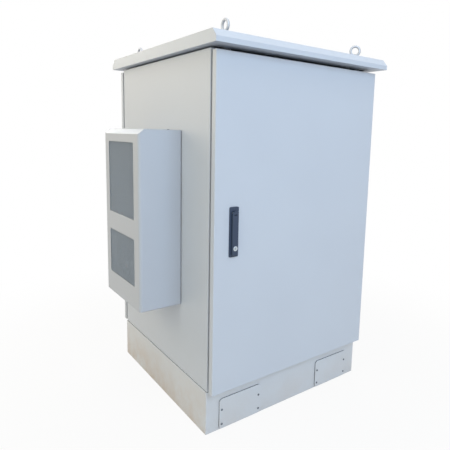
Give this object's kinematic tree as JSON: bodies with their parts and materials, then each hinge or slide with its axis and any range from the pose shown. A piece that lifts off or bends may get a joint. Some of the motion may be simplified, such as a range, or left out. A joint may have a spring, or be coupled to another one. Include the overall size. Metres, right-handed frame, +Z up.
{
  "type": "outdoor equipment cabinet",
  "caption": "Free-standing outdoor telecom cabinet: hinged front door with rod-lock swing handle, folded overhanging roof, lifting eyes, plinth, rack rails and a side-mounted cooling unit.",
  "frame": {"origin": "on the floor at the centre of the plinth's anchor holes", "axes": "+Z up, the door faces -Y, the cooling unit stands on the -X side"},
  "size_m": [1.1185, 1.028, 1.6759],
  "materials": {
    "body_paint": "light grey powder coat",
    "unit_paint": "light grey powder coat",
    "galvanised_steel": "galvanised sheet",
    "zinc_steel": "zinc plated",
    "forged_zinc": "zinc plated forging",
    "handle_black": "black powder coat on die-cast zinc",
    "lock_chrome": "bright chrome",
    "seal_rubber": "matt foam rubber",
    "grille_grey": "dark grey coated mesh",
    "nylon": "black nylon",
    "copper": "bare copper",
    "coil_aluminium": "mill finish fins",
    "fan_plastic": "black moulded plastic",
    "black_steel": "black enamel"
  },
  "bodies": {
    "cabinet": {"ac_air_grilles": "galvanised_steel", "ac_blower_motor": "black_steel", "ac_chassis": "galvanised_steel", "ac_compressor": "black_steel", "ac_condenser": "coil_aluminium", "ac_evaporator": "coil_aluminium", "ac_fan_motor": "black_steel", "ac_fan_shroud": "fan_plastic", "ac_gasket": "seal_rubber", "ac_grille_lower": "grille_grey", "ac_grille_upper": "grille_grey", "ac_housing": "unit_paint", "ac_partition": "galvanised_steel", "ac_pipes": "copper", "base_panel": "body_paint", "body_bolts": "zinc_steel", "cover_gaskets": "seal_rubber", "cover_screws": "zinc_steel", "earth_bar": "copper", "earth_stands": "nylon", "front_frame": "body_paint", "gland_plate": "galvanised_steel", "hinge_frame_leaves": "galvanised_steel", "hinge_pins": "zinc_steel", "lifting_eyes": "forged_zinc", "plinth": "body_paint", "plinth_cover_left": "body_paint", "plinth_cover_right": "body_paint", "plinth_seal": "seal_rubber", "rack_ceiling_channels": "galvanised_steel", "rack_floor_channels": "galvanised_steel", "rack_rails_front": "galvanised_steel", "rack_rails_rear": "galvanised_steel", "rear_cover": "body_paint", "rear_cover_spacers": "galvanised_steel", "rear_frame": "body_paint", "rear_gasket": "seal_rubber", "rod_keepers": "galvanised_steel", "roof": "body_paint", "roof_posts": "galvanised_steel", "side_panel_left": "body_paint", "side_panel_right": "body_paint", "top_panel": "body_paint"},
    "door": {"front_door": "body_paint", "door_gasket": "seal_rubber", "door_stiffeners": "body_paint", "hinge_door_leaves": "galvanised_steel", "handle_base": "handle_black", "rod_guides": "nylon"},
    "spindle": {"handle_spindle": "handle_black", "handle_pin": "zinc_steel", "lock_cam": "zinc_steel"},
    "lever": {"swing_handle": "handle_black", "lock_cylinder": "lock_chrome"},
    "key": {"key_plug": "lock_chrome"},
    "rod_upper": {"upper_rod": "zinc_steel"},
    "rod_lower": {"lower_rod": "zinc_steel"},
    "condenser_fan": {"ac_fan_rotor": "fan_plastic"},
    "cabinet_fan": {"ac_blower_rotor": "fan_plastic"}
  },
  "joints": [
    {"name": "door_swing", "type": "hinge", "parent": "cabinet", "child": "door", "pos_m": [0.436, -0.458, 0.868], "axis": [0, 0, 1], "range_deg": [0, 120]},
    {"name": "handle_turn", "type": "hinge", "parent": "door", "child": "spindle", "pos_m": [-0.361, -0.47, 0.938], "axis": [0, -1, 0], "range_deg": [0, 90]},
    {"name": "handle_lift", "type": "hinge", "parent": "spindle", "child": "lever", "pos_m": [-0.361, -0.4825, 0.938], "axis": [-1, 0, 0], "range_deg": [0, 40]},
    {"name": "key_turn", "type": "hinge", "parent": "lever", "child": "key", "pos_m": [-0.361, -0.485, 0.796], "axis": [0, -1, 0], "range_deg": [0, 90]},
    {"name": "upper_rod_slide", "type": "slide", "parent": "door", "child": "rod_upper", "axis": [0, 0, 1], "range_m": [0, 0.0201]},
    {"name": "lower_rod_slide", "type": "slide", "parent": "door", "child": "rod_lower", "axis": [0, 0, -1], "range_m": [0, 0.0201]},
    {"name": "condenser_fan_spin", "type": "hinge", "parent": "cabinet", "child": "condenser_fan", "pos_m": [-0.605, -0.012, 0.6945], "axis": [1, 0, 0], "continuous": true},
    {"name": "cabinet_fan_spin", "type": "hinge", "parent": "cabinet", "child": "cabinet_fan", "pos_m": [-0.49, -0.012, 0.62], "axis": [1, 0, 0], "continuous": true}
  ],
  "couplings": [
    {"joint": "upper_rod_slide", "follows": "handle_turn", "m_per_rad": 0.012732},
    {"joint": "lower_rod_slide", "follows": "handle_turn", "m_per_rad": 0.012732}
  ]
}
